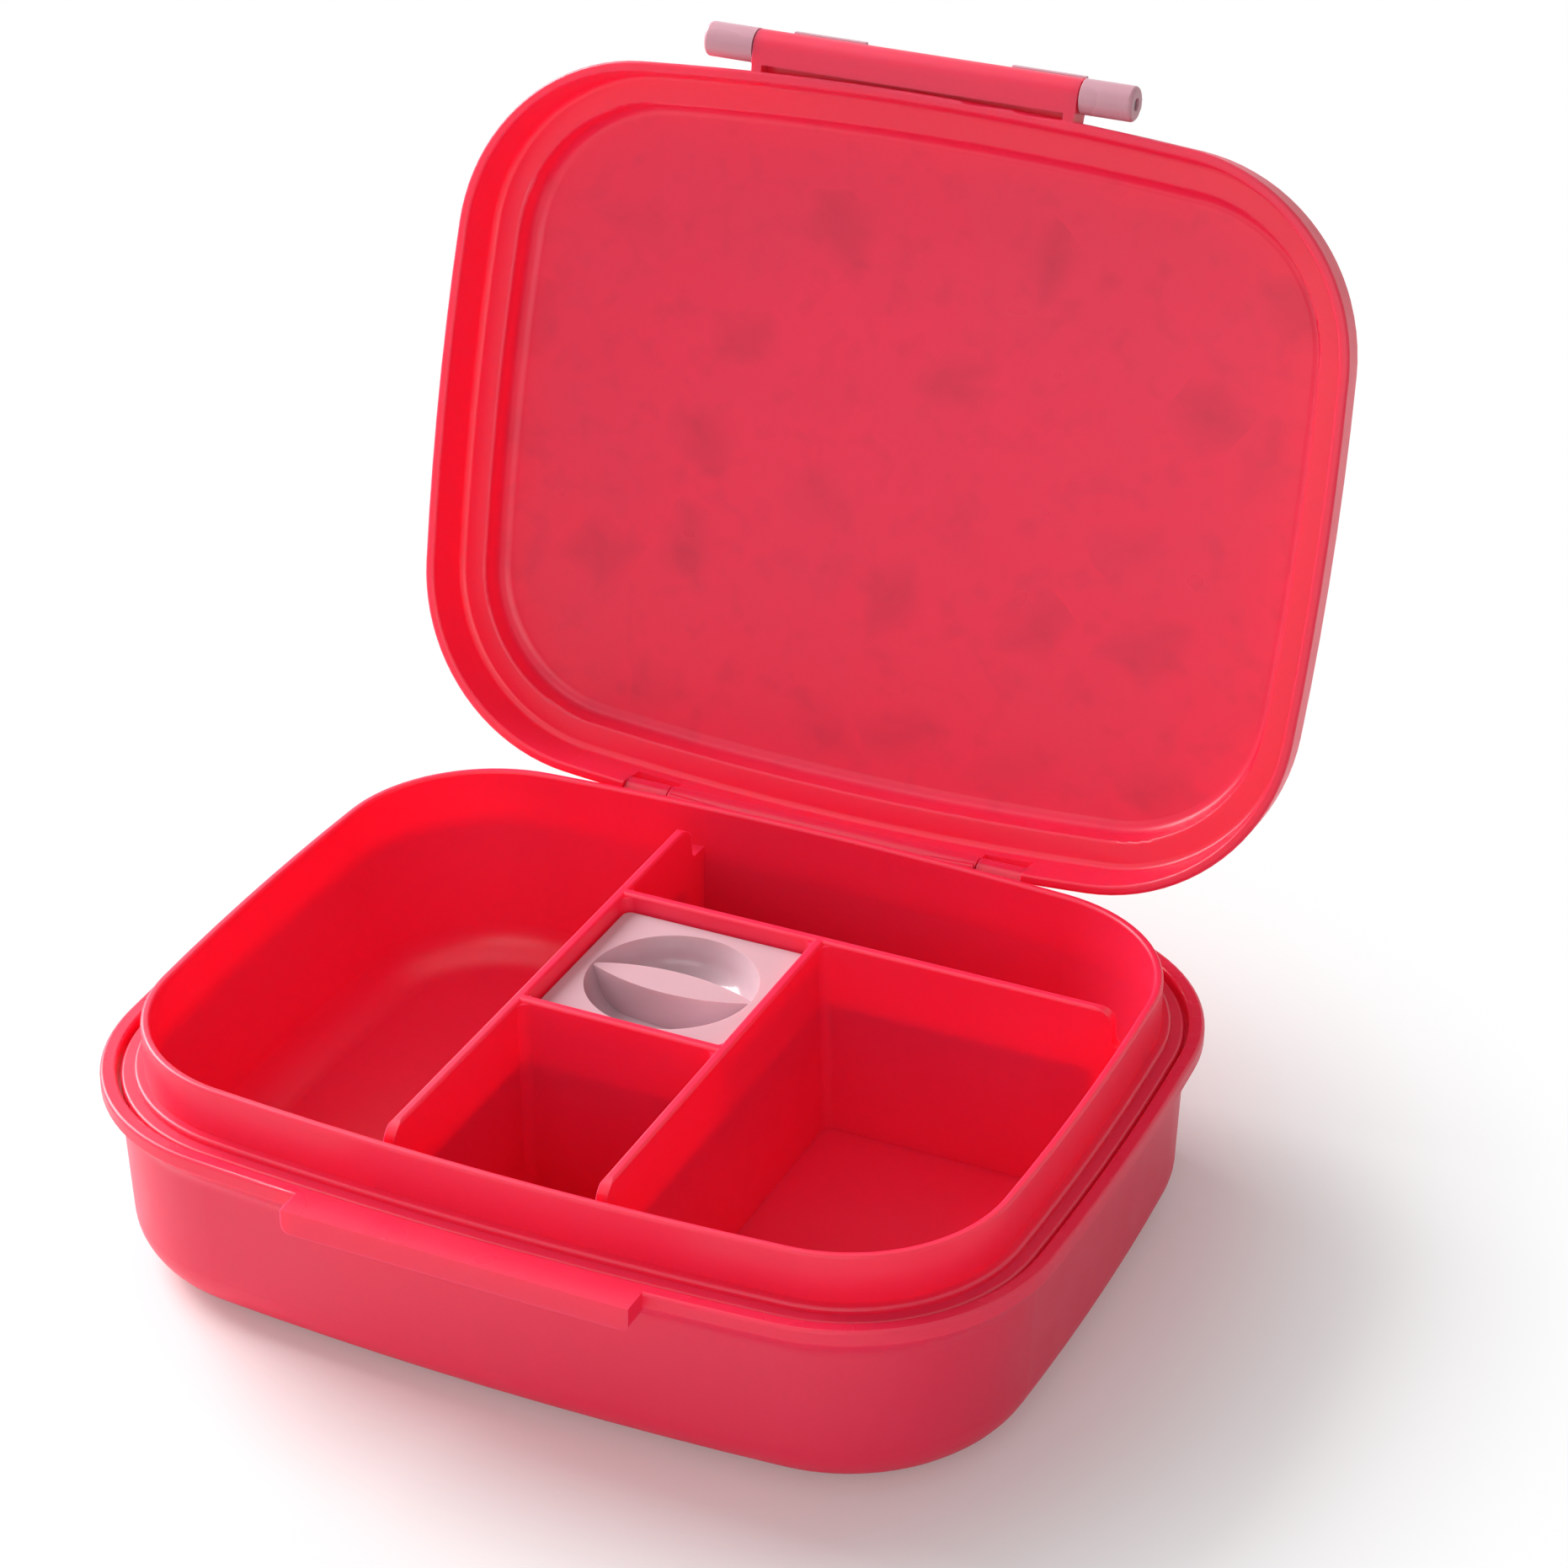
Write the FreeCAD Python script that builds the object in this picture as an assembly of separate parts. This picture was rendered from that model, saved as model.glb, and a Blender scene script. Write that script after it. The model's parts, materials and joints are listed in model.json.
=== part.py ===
import FreeCAD, Part
import math
import os

V = FreeCAD.Vector
UP = V(0, 0, 1)
ALONG = V(1, 0, 0)

# Lunch box with a hinged lid, a front latch and a lift-out food tray, in millimetres.
# The origin is in the middle of the underside, +X runs along the front, +Y to the hinge and +Z up.

# Outline from above, at the outer edge of the rim
box_length = 200.0
box_width = 158.0
long_side_radius = 765.0
short_side_radius = 703.0
corner_radius = 42.0

# Base tub
base_height = 40.0
base_wall = 2.2
base_draft = 2.0
base_bottom_radius = 9.5
lip_width = 3.2
lip_height = 3.0
rim_flare = 4.0
ledge_drop = 3.0
ledge_width = 2.6
edge_radius = 0.7
foot_height = 1.2
foot_diameter = 15.0
foot_wall = 2.5
foot_from_side = 34.0
foot_from_end = 33.0

# Food tray
tray_clearance = 0.8
flange_width = 4.6
flange_thickness = 2.0
flange_ridge_width = 2.0
flange_ridge_height = 1.2
tray_rim_height = 13.2
tray_floor_gap = 1.0
tray_wall = 1.8
tray_draft = 3.0
tray_bottom_radius = 10.0

# Dividers of the tray
divider_drop = 1.5
divider_thickness = 2.2
divider_draft = 1.2
divider_core = 1.4
divider_core_cover = 3.0
divider_notch_depth = 8.0
divider_notch_width = 5.4
divider_notch_radius = 4.0
divider_notch_fillet = 1.5
cove_radius = 2.5
cove_sink = 0.05
left_divider_x = -24.4
well_pitch = 44.6
well_back_y = 33.0

# Dip pot and its lid
pot_clearance = 0.45
pot_wall = 1.5
pot_draft = 3.0
pot_bottom_radius = 4.0
pot_corner_radius = 8.0
pot_lid_overhang = 0.7
pot_lid_drop = 3.5
pot_lid_thickness = 2.0
pot_lid_edge = 0.6
pot_lid_corner_radius = 2.0
plug_depth = 4.0
plug_clearance = 0.15
bowl_diameter = 35.0
bowl_depth = 8.5
bowl_taper = 3.0
bowl_radius = 7.0
bowl_wall = 1.4
grip_width = 8.0
grip_below_top = 0.3

# Lid
lid_gap = 0.25
lid_wall = 1.8
lid_rim_width = 2.2
lid_draft = 6.0
lid_shoulder_radius = 4.0
lid_ledge_width = 6.1
lid_ledge_fillet = 1.5
lid_tray_clearance = 0.5
dome_rise = 6.3
dome_draft = 5.0
dome_radius = 4.5
film_margin = 8.0
film_thickness = 0.3
film_edge_gap = 0.05
lid_open_angle = 106.0

# Back hinge
hinge_inset = 0.75
hinge_height = 3.6
hinge_radius = 3.2
hinge_barrel_length = 71.2
hinge_ear_length = 10.0
hinge_end_gap = 0.4
hinge_notch_clearance = 1.0
ear_gusset = 4.0
lid_stop_gap = 0.3
lid_stop_width = 1.6

# Front latch and the catch lip it grips
catch_length = 72.0
catch_reach = 4.4
catch_height = 5.0
catch_corner_radius = 1.6
barrel_radius = 3.5
barrel_length = 71.0
barrel_slot = 0.6
barrel_over_catch = 0.6
barrel_post_width = 2.2
barrel_web_rise = 2.9
knuckle_radius = 3.6
knuckle_length = 11.0
knuckle_rounding = 0.8
knuckle_gap = 0.35
latch_plate_gap = 0.5
latch_plate_thickness = 1.9
latch_reach = 15.5
latch_corner_radius = 7.0
latch_taper = 3.0
hook_width = 16.0
hook_span = 64.5
hook_grip = 2.4
hook_height = 3.0
hook_clearance = 0.35
barrel_clearance = 0.45
latch_open_angle = 174.0

# Steel pins
pin_diameter = 2.6
pin_chamfer = 0.3
pin_recess = 0.5
pin_running_clearance = 0.06
pin_hold_clearance = 0.01


def slope(degrees):
    return math.tan(math.radians(degrees))


# Heights and insets that several pieces share. An inset is measured in from the box's outline.
wall_inset = lip_width + ledge_width - base_wall
seat_z = base_height - ledge_drop
flange_inset = lip_width + tray_clearance
tray_inset = flange_inset + flange_width
tray_top = seat_z + tray_rim_height
tray_bottom = base_wall + tray_floor_gap
tray_depth = seat_z - tray_bottom
tray_floor = tray_bottom + tray_wall
divider_top = tray_top - divider_drop
lid_bottom = base_height + lid_gap
lid_ledge = tray_top + lid_tray_clearance
lid_shoulder = lid_ledge + lid_wall
skirt_inset = lid_rim_width + (lid_ledge - lid_bottom) * slope(lid_draft)
dome_inset = skirt_inset + lid_ledge_width
dome_top_inset = dome_inset - lid_wall + dome_rise * slope(dome_draft)
panel_bottom = lid_ledge + dome_rise
panel_top = panel_bottom + lid_wall
film_inset = dome_top_inset + film_margin
core_inset = (tray_inset + tray_wall + tray_bottom_radius + corner_radius) / 2
hinge_y = box_width / 2 - hinge_inset
hinge_z = base_height + hinge_height
hinge_axis = V(0, hinge_y, hinge_z)
hinge_notch_y = hinge_y - hinge_radius - hinge_notch_clearance
hinge_notch_top = hinge_z + hinge_radius + hinge_notch_clearance
latch_y = -(box_width / 2 + barrel_slot + barrel_radius)
latch_z = base_height + barrel_over_catch + barrel_radius
latch_axis = V(0, latch_y, latch_z)
catch_front = -(box_width / 2 + catch_reach)
pin_radius = pin_diameter / 2
well_centre = V(left_divider_x + well_pitch / 2, well_back_y - well_pitch / 2, 0)
pot_lid_size = well_pitch - divider_thickness - 2 * pot_clearance
pot_lid_top = divider_top - pot_lid_drop
pot_top = pot_lid_top - pot_lid_thickness


def rounded_wire(points, place):
    """A closed wire through (u, v, radius) corners, where place(u, v) gives each point in space."""
    count = len(points)
    trims = []
    for i in range(count):
        u, v, radius = points[i]
        before = points[i - 1]
        after = points[(i + 1) % count]
        back = math.atan2(before[1] - v, before[0] - u)
        ahead = math.atan2(after[1] - v, after[0] - u)
        half = abs((ahead - back + math.pi) % (2 * math.pi) - math.pi) / 2
        middle = math.atan2(math.sin(back) + math.sin(ahead), math.cos(back) + math.cos(ahead))
        reach = radius / math.tan(half)
        rise = radius / math.sin(half) - radius
        trims.append(
            (
                place(u + reach * math.cos(back), v + reach * math.sin(back)),
                place(u + rise * math.cos(middle), v + rise * math.sin(middle)),
                place(u + reach * math.cos(ahead), v + reach * math.sin(ahead)),
            )
        )
    edges = []
    for i in range(count):
        start, crown, end = trims[i]
        if points[i][2] > 0:
            edges.append(Part.Arc(start, crown, end).toShape())
        following = trims[(i + 1) % count][0]
        edges.append(Part.LineSegment(end, following).toShape())
    return Part.Wire(edges)


def rounded_face(points, place):
    return Part.Face(rounded_wire(points, place))


def box_outline():
    """The box's outline as tangent arcs, each (centre, radius, start angle, sweep angle) in radians."""
    half_length = box_length / 2
    half_width = box_width / 2
    back = V(0, half_width - long_side_radius, 0)
    right = V(half_length - short_side_radius, 0, 0)
    to_back = long_side_radius - corner_radius
    to_right = short_side_radius - corner_radius
    apart = right.sub(back).Length
    along = (to_back**2 - to_right**2 + apart**2) / (2 * apart)
    across = math.sqrt(to_back**2 - along**2)
    line = right.sub(back).normalize()
    corner = back + line * along + V(line.y, -line.x, 0) * across
    low = math.atan2(corner.y - right.y, corner.x - right.x)
    high = math.atan2(corner.y - back.y, corner.x - back.x)
    arcs = []
    for turn in (0, 1):
        sign = 1 - 2 * turn
        start = turn * math.pi
        arcs.append((V(sign * right.x, 0, 0), short_side_radius, start - low, 2 * low))
        arcs.append((V(sign * corner.x, sign * corner.y, 0), corner_radius, start + low, high - low))
        arcs.append((V(0, sign * back.y, 0), long_side_radius, start + high, math.pi - 2 * high))
        facing = V(-sign * corner.x, sign * corner.y, 0)
        arcs.append((facing, corner_radius, start + math.pi - high, high - low))
    return arcs


def on_arc(arc, angle, inset, z):
    centre, radius = arc[:2]
    reach = radius - inset
    return V(centre.x + reach * math.cos(angle), centre.y + reach * math.sin(angle), z)


def box_plate(inset, low, high):
    """A flat plate with the box's outline, set in from it."""
    edges = []
    for arc in box_outline():
        start, sweep = arc[2:]
        points = [on_arc(arc, start + sweep * share, inset, low) for share in (0, 0.5, 1)]
        edges.append(Part.Arc(*points).toShape())
    return Part.Face(Part.Wire(edges)).extrude(V(0, 0, high - low))


def box_ring(points):
    """A wall all round the box: a section of (inset, z, radius) corners carried along the outline."""
    pieces = []
    for arc in box_outline():
        centre, radius, start, sweep = arc
        face = rounded_face(points, lambda inset, z: on_arc(arc, start, inset, z))
        pieces.append(face.revolve(centre, UP, math.degrees(sweep)))
    return pieces[0].multiFuse(pieces[1:]).removeSplitter()


def box_shell(points, low, high):
    """A ring whose section ends at core_inset, closed by a plate between low and high."""
    return box_ring(points).fuse(box_plate(core_inset, low, high)).removeSplitter()


def square_sides(size, radius):
    """A rounded square's corner centres with the angle at which each corner starts."""
    reach = size / 2 - radius
    signs = ((1, 1), (-1, 1), (-1, -1), (1, -1))
    return [(V(sx * reach, sy * reach, 0), i * 90.0) for i, (sx, sy) in enumerate(signs)]


def square_plate(size, radius, low, high):
    half = size / 2
    corners = [(half, half, radius), (-half, half, radius), (-half, -half, radius), (half, -half, radius)]
    face = rounded_face(corners, lambda x, y: V(x, y, low))
    return face.extrude(V(0, 0, high - low))


def square_ring(size, radius, points):
    """A wall round a rounded square: a section of (inset, z, radius) corners carried along its outline."""
    pieces = []
    for centre, start in square_sides(size, radius):
        face = rounded_face(points, lambda inset, z: V(centre.x + radius - inset, centre.y, z))
        face.rotate(centre, UP, start)
        pieces.append(face.revolve(centre, UP, 90))
        turn = math.radians(start)
        side = V(math.sin(turn), -math.cos(turn), 0) * (size - 2 * radius)
        pieces.append(face.extrude(side))
    return pieces[0].multiFuse(pieces[1:]).removeSplitter()


def rod(radius, start, end, axis):
    """A round bar along X about an axis point, from x = start to x = end."""
    return Part.makeCylinder(radius, end - start, V(start, axis.y, axis.z), ALONG)


def bar(points, start, end):
    """A bar along X whose section is a list of (y, z, radius) corners."""
    face = rounded_face(points, lambda y, z: V(start, y, z))
    return face.extrude(V(end - start, 0, 0))


def side_bar(points, start, end):
    """A bar along the back that follows its curve: (inset, z, radius) corners, start and end in x."""
    centre = V(0, box_width / 2 - long_side_radius, 0)
    reach = long_side_radius - min(inset for inset, z, radius in points)
    face = rounded_face(points, lambda inset, z: V(0, box_width / 2 - inset, z))
    first = math.degrees(math.asin(start / reach))
    last = math.degrees(math.asin(end / reach))
    face.rotate(centre, UP, -last)
    return face.revolve(centre, UP, last - first)


def both_sides(shape):
    """A shape and its mirror image across the middle of the box."""
    return [shape, shape.mirror(V(0, 0, 0), ALONG)]


def block(low, high):
    size = high.sub(low)
    return Part.makeBox(size.x, size.y, size.z, low)


def make_base_tub():
    flare_z = base_height - lip_height - rim_flare
    outer_foot = wall_inset + flare_z * slope(base_draft)
    inner_top = wall_inset + base_wall
    inner_foot = inner_top + (seat_z - base_wall) * slope(base_draft)
    tub = box_shell(
        [
            (0, base_height, edge_radius),
            (0, base_height - lip_height, edge_radius),
            (wall_inset, flare_z, rim_flare),
            (outer_foot, 0, base_bottom_radius),
            (core_inset, 0, 0),
            (core_inset, base_wall, 0),
            (inner_foot, base_wall, base_bottom_radius - base_wall),
            (inner_top, seat_z, 0),
            (lip_width, seat_z, 0),
            (lip_width, base_height, edge_radius),
        ],
        0,
        base_wall,
    )
    tub = tub.fuse([catch_lip()] + both_sides(hinge_ear()))
    feet = []
    dimples = []
    foot_x = box_length / 2 - foot_from_end
    foot_y = box_width / 2 - foot_from_side
    hollow = foot_diameter / 2 - foot_wall
    for x in (-foot_x, foot_x):
        for y in (-foot_y, foot_y):
            spot = V(x, y, -foot_height)
            feet.append(Part.makeCylinder(foot_diameter / 2, foot_height + base_wall, spot))
            dimples.append(Part.makeCylinder(hollow, foot_height, spot + UP * base_wall))
    return tub.fuse(feet).cut(dimples).removeSplitter()


def catch_lip():
    """The straight lip on the front of the rim that the latch hooks under."""
    half = catch_length / 2
    low = base_height - catch_height
    corners = [
        (-half, base_height, 0),
        (half, base_height, 0),
        (half, low, catch_corner_radius),
        (-half, low, catch_corner_radius),
    ]
    face = rounded_face(corners, lambda x, z: V(x, catch_front, z))
    lip = face.extrude(V(0, catch_reach + lip_width - edge_radius, 0))
    return lip.cut(box_plate(wall_inset, low - catch_height, base_height - lip_height))


def hinge_ear():
    """One of the two ears on the back of the rim that hold the hinge pin."""
    start = hinge_barrel_length / 2 + hinge_end_gap
    end = start + hinge_ear_length
    outside = hinge_y + hinge_radius
    inside = hinge_y - hinge_radius
    post = bar(
        [
            (inside, hinge_z, 0),
            (inside, base_height - lip_height - ear_gusset / 2, 0),
            (outside, base_height - edge_radius, 0),
            (outside, hinge_z, 0),
        ],
        start,
        end,
    )
    # the stop stands out behind the ear, against the top of the lid's notch when the lid is open
    stop = block(
        V(start, hinge_y - lid_stop_width / 2, hinge_z),
        V(end, hinge_y + lid_stop_width / 2, hinge_notch_top - lid_stop_gap),
    )
    ear = post.fuse([rod(hinge_radius, start, end, hinge_axis), swing_open(stop, False)])
    return ear.cut(rod(pin_radius + pin_hold_clearance, start, end, hinge_axis))


def make_food_tray():
    inner_inset = tray_inset + tray_wall
    drop = tray_depth * slope(tray_draft)
    ridge_z = seat_z + flange_thickness
    ridge_top = ridge_z + flange_ridge_height
    tray = box_shell(
        [
            (tray_inset, tray_top, edge_radius),
            (tray_inset, ridge_top, 0),
            (tray_inset - flange_ridge_width, ridge_top, edge_radius),
            (tray_inset - flange_ridge_width, ridge_z, 0),
            (flange_inset, ridge_z, edge_radius),
            (flange_inset, seat_z, edge_radius / 2),
            (tray_inset, seat_z, 0),
            (tray_inset + drop, tray_bottom, tray_bottom_radius),
            (core_inset, tray_bottom, 0),
            (core_inset, tray_floor, 0),
            (inner_inset + drop, tray_floor, tray_bottom_radius - tray_wall),
            (inner_inset, seat_z, 0),
            (inner_inset, tray_top, edge_radius),
        ],
        tray_bottom,
        tray_floor,
    )
    dividers, slots = tray_dividers()
    return tray.fuse(dividers).cut(slots).removeSplitter()


def tray_inside():
    """The space inside the tray, out to the middle of its wall, that the dividers fill."""
    inset = tray_inset + tray_wall / 2
    low = tray_bottom + tray_wall / 2
    drop = tray_depth * slope(tray_draft)
    corners = [
        (inset, tray_top, 0),
        (inset, seat_z, 0),
        (inset + drop, low, tray_bottom_radius - tray_wall / 2),
        (core_inset, low, 0),
        (core_inset, tray_top, 0),
    ]
    return box_shell(corners, low, tray_top)


def wall_reach(along_y, across, inset):
    """How far from the middle a side of the box stands, at a place across it and at an inset."""
    half = box_width / 2 if along_y else box_length / 2
    radius = long_side_radius if along_y else short_side_radius
    return half - radius + math.sqrt((radius - inset) ** 2 - across**2)


def divider_place(along_y, across):
    """Turns a divider's own coordinates, which are along it, up and sideways, into a point."""
    if along_y:
        return lambda along, z, side=0: V(across + side, along, z)
    return lambda along, z, side=0: V(along, across + side, z)


def divider_half(z):
    """Half of a divider's thickness at a height, which grows downwards with its draft."""
    return divider_thickness / 2 + (divider_top - z) * slope(divider_draft)


def tray_dividers():
    """The four dividers with the coves between them, and the slots that core them from below."""
    right_x = left_divider_x + well_pitch
    front_y = well_back_y - well_pitch
    # each divider: is it along Y, its place across, and its two ends, with None for the tray's wall
    layout = [
        (True, left_divider_x, None, None),
        (True, right_x, None, well_back_y),
        (False, well_back_y, left_divider_x, None),
        (False, front_y, left_divider_x, right_x),
    ]
    inside = tray_inside()
    dividers = []
    slots = []
    for along_y, across, low_end, high_end in layout:
        dividers.append(divider_slab(along_y, across, low_end, high_end).common(inside))
        slots.append(divider_slot(along_y, across, low_end, high_end))
    # each meeting of two dividers: its place, and the direction in which the one that ends there runs
    meetings = [
        (left_divider_x, well_back_y, 1, 0),
        (left_divider_x, front_y, 1, 0),
        (right_x, well_back_y, 0, -1),
        (right_x, front_y, -1, 0),
    ]
    for x, y, to_x, to_y in meetings:
        for side in (-1, 1):
            dividers.append(divider_cove(x, y, to_x or side, to_y or side))
    return dividers, slots


def divider_slab(along_y, across, low_end, high_end):
    """A divider: its tapered section run along it, within its outline from the side."""
    place = divider_place(along_y, across)
    outer = wall_reach(along_y, across, tray_inset)
    start = -outer if low_end is None else low_end
    end = outer if high_end is None else high_end
    foot = divider_half(tray_bottom)
    section = [
        (-divider_half(divider_top), divider_top, edge_radius),
        (divider_half(divider_top), divider_top, edge_radius),
        (foot, tray_bottom, 0),
        (-foot, tray_bottom, 0),
    ]
    tapered = rounded_face(section, lambda side, z: place(start, z, side))
    outline = [(start, tray_bottom, 0), (end, tray_bottom, 0)]
    outline += divider_end(end, 1, high_end is None)
    outline += reversed(divider_end(start, -1, low_end is None))
    side_view = rounded_face(outline, lambda along, z: place(along, z, -foot))
    run = place(end, 0).sub(place(start, 0))
    width = place(0, 0, foot).sub(place(0, 0, -foot))
    return tapered.extrude(run).common(side_view.extrude(width))


def divider_end(end, outward, at_wall):
    """The top corners at a divider's end, which drops to a low sill beside the tray's wall."""
    if not at_wall:
        return [(end, divider_top, 0)]
    sill = divider_top - divider_notch_depth
    tip = end - outward * (tray_wall + divider_notch_width)
    return [
        (end, sill, 0),
        (tip, sill, divider_notch_fillet),
        (tip, divider_top, divider_notch_radius),
    ]


def divider_slot(along_y, across, low_end, high_end):
    """The slot that cores a divider from below, over the flat of the tray's bottom."""
    place = divider_place(along_y, across)
    flat = wall_reach(along_y, across, tray_inset + tray_wall + tray_bottom_radius)
    start = -flat if low_end is None else low_end
    end = flat if high_end is None else high_end
    half = divider_core / 2
    return block(
        place(start, tray_bottom - tray_wall, -half),
        place(end, seat_z - divider_core_cover, half),
    )


def divider_cove(x, y, to_x, to_y):
    """A rounded inner corner where two dividers meet, which leans with their draft."""
    low = tray_bottom + tray_wall / 2
    high = divider_top - edge_radius
    near = divider_half(low) - cove_sink
    far = near + cove_radius
    waist = far - cove_radius * math.sqrt(0.5)
    corners = [(near, far), (0, far), (0, 0), (far, 0), (far, near)]
    points = [V(x + to_x * u, y + to_y * v, low) for u, v in corners]
    crown = V(x + to_x * waist, y + to_y * waist, low)
    arc = Part.Arc(points[-1], crown, points[0]).toShape()
    face = Part.Face(Part.Wire(Part.makePolygon(points).Edges + [arc]))
    lean = (high - low) * slope(divider_draft)
    return face.extrude(V(-to_x * lean, -to_y * lean, high - low))


def pot_size():
    return pot_lid_size - 2 * pot_lid_overhang


def make_dip_pot():
    size = pot_size()
    drop = (pot_top - tray_floor) * slope(pot_draft)
    floor_top = tray_floor + pot_wall
    core = (drop + pot_wall + pot_bottom_radius + pot_corner_radius) / 2
    section = [
        (0, pot_top, pot_wall / 3),
        (drop, tray_floor, pot_bottom_radius),
        (core, tray_floor, 0),
        (core, floor_top, 0),
        (pot_wall + drop, floor_top, pot_bottom_radius - pot_wall),
        (pot_wall, pot_top, pot_wall / 3),
    ]
    ring = square_ring(size, pot_corner_radius, section)
    floor = square_plate(size - 2 * core, pot_corner_radius - core, tray_floor, floor_top)
    pot = ring.fuse(floor).removeSplitter()
    pot.translate(well_centre)
    return pot


def bowl_solid(grow):
    """The finger bowl's round form, with its wall and floor moved out by grow."""
    rim = bowl_diameter / 2 + grow
    low = pot_lid_top - bowl_depth - grow
    corners = [
        (0, pot_lid_top, 0),
        (rim, pot_lid_top, 0),
        (rim - bowl_taper, low, bowl_radius + grow),
        (0, low, 0),
    ]
    face = rounded_face(corners, lambda x, z: V(x, 0, z))
    return face.revolve(V(0, 0, 0), UP, 360)


def make_dip_pot_lid():
    low = pot_top
    core = (pot_lid_edge + pot_lid_corner_radius) / 2
    edge = square_ring(
        pot_lid_size,
        pot_lid_corner_radius,
        [(0, pot_lid_top, pot_lid_edge), (0, low, pot_lid_edge / 2), (core, low, 0), (core, pot_lid_top, 0)],
    )
    plate = square_plate(pot_lid_size - 2 * core, pot_lid_corner_radius - core, low, pot_lid_top)
    plug_inset = pot_wall + plug_clearance
    taper = plug_depth * slope(pot_draft)
    plug = square_ring(
        pot_size() - 2 * plug_inset,
        pot_corner_radius - plug_inset,
        [
            (0, low, 0),
            (taper, low - plug_depth, 0),
            (taper + pot_wall, low - plug_depth, 0),
            (taper + pot_wall, low, 0),
        ],
    )
    cup = bowl_solid(bowl_wall)
    lid = edge.fuse([plate, plug, cup]).cut(bowl_solid(0))
    lid = lid.fuse(leaf_grip().common(cup)).removeSplitter()
    lid.translate(well_centre)
    return lid


def leaf_grip():
    """The leaf-shaped grip across the finger bowl, between two arcs."""
    reach = bowl_diameter / 2 + bowl_wall / 2
    half = grip_width / 2
    low = pot_lid_top - bowl_depth - bowl_wall / 2
    left = V(-reach, 0, low)
    right = V(reach, 0, low)
    edges = [
        Part.Arc(left, V(0, half, low), right).toShape(),
        Part.Arc(right, V(0, -half, low), left).toShape(),
    ]
    return Part.Face(Part.Wire(edges)).extrude(V(0, 0, pot_lid_top - grip_below_top - low))


def closed_lid_shell():
    outer_skirt = (lid_shoulder - lid_bottom) * slope(lid_draft)
    shell = box_shell(
        [
            (0, lid_bottom, edge_radius),
            (outer_skirt, lid_shoulder, lid_shoulder_radius),
            (dome_inset - lid_wall, lid_shoulder, lid_wall / 2),
            (dome_top_inset, panel_top, dome_radius),
            (core_inset, panel_top, 0),
            (core_inset, panel_bottom, 0),
            (dome_top_inset + lid_wall, panel_bottom, dome_radius - lid_wall),
            (dome_inset, lid_ledge, edge_radius),
            (skirt_inset, lid_ledge, lid_ledge_fillet),
            (lid_rim_width, lid_bottom, edge_radius),
        ],
        panel_bottom,
        panel_top,
    )
    film_bed = box_plate(film_inset, panel_top - film_thickness, panel_top + lid_wall)
    half = hinge_barrel_length / 2
    notch_inset = box_width / 2 - hinge_notch_y
    notch = side_bar(
        [
            (-hinge_radius, base_height, 0),
            (-hinge_radius, hinge_notch_top, 0),
            (notch_inset, hinge_notch_top, 0),
            (notch_inset, base_height, 0),
        ],
        half,
        half + hinge_ear_length + 2 * hinge_end_gap,
    )
    shell = shell.cut([film_bed] + both_sides(notch))
    shell = shell.fuse(latch_barrel()).fuse(rod(hinge_radius, -half, half, hinge_axis))
    pin_bore = pin_radius + pin_running_clearance
    bores = [rod(pin_bore, -half, half, hinge_axis)]
    bores.append(rod(pin_bore, -barrel_length / 2, barrel_length / 2, latch_axis))
    return shell.cut(bores).removeSplitter()


def latch_barrel():
    """The straight barrel along the lid's front, with the web and the end posts that carry it."""
    half = barrel_length / 2
    low = latch_z - barrel_radius
    round_side = rod(barrel_radius, -half, half, latch_axis)
    square_side = block(V(-half, latch_y, low), V(half, latch_y + barrel_radius, latch_z))
    web = latch_rib(latch_z, latch_z + barrel_web_rise, -half, half)
    post = latch_rib(low, latch_z, half - barrel_post_width, half)
    return round_side.fuse([square_side, web] + both_sides(post)).removeSplitter()


def latch_rib(low, high, start, end):
    """A rib from the middle of the latch's barrel into the lid's skirt, along the skirt's curve."""
    outside = -(barrel_slot + barrel_radius)
    inside = skirt_inset / 2
    section = [(outside, low, 0), (outside, high, 0), (inside, high, 0), (inside, low, 0)]
    return side_bar(section, start, end).mirror(V(0, 0, 0), V(0, 1, 0))


def closed_lid_film():
    return box_plate(film_inset + film_edge_gap, panel_top - film_thickness, panel_top)


def closed_latch_clip():
    inside = catch_front - latch_plate_gap
    outside = inside - latch_plate_thickness
    tip = latch_z - latch_reach
    half = barrel_length / 2 + knuckle_gap + knuckle_length
    plate_half = half - knuckle_rounding
    plate = bar(
        [
            (inside, latch_z, 0),
            (inside, tip, edge_radius),
            (outside, tip, edge_radius),
            (outside, latch_z, 0),
        ],
        -plate_half,
        plate_half,
    )
    outline = rounded_face(
        [
            (-plate_half, latch_z + knuckle_radius, 0),
            (-plate_half, latch_z - knuckle_radius, 0),
            (-plate_half + latch_taper, tip, latch_corner_radius),
            (plate_half - latch_taper, tip, latch_corner_radius),
            (plate_half, latch_z - knuckle_radius, 0),
            (plate_half, latch_z + knuckle_radius, 0),
        ],
        lambda x, z: V(x, outside - latch_plate_thickness, z),
    )
    plate = plate.common(outline.extrude(V(0, 3 * latch_plate_thickness, 0)))
    barrel_half = half - knuckle_length
    room = barrel_radius + barrel_clearance
    plate = plate.cut(rod(room, -barrel_half, barrel_half, latch_axis))
    clip = plate.fuse(both_sides(latch_knuckle(barrel_half, half)) + both_sides(latch_hook(inside)))
    return clip.cut(rod(pin_radius + pin_hold_clearance, -half, half, latch_axis)).removeSplitter()


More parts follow.
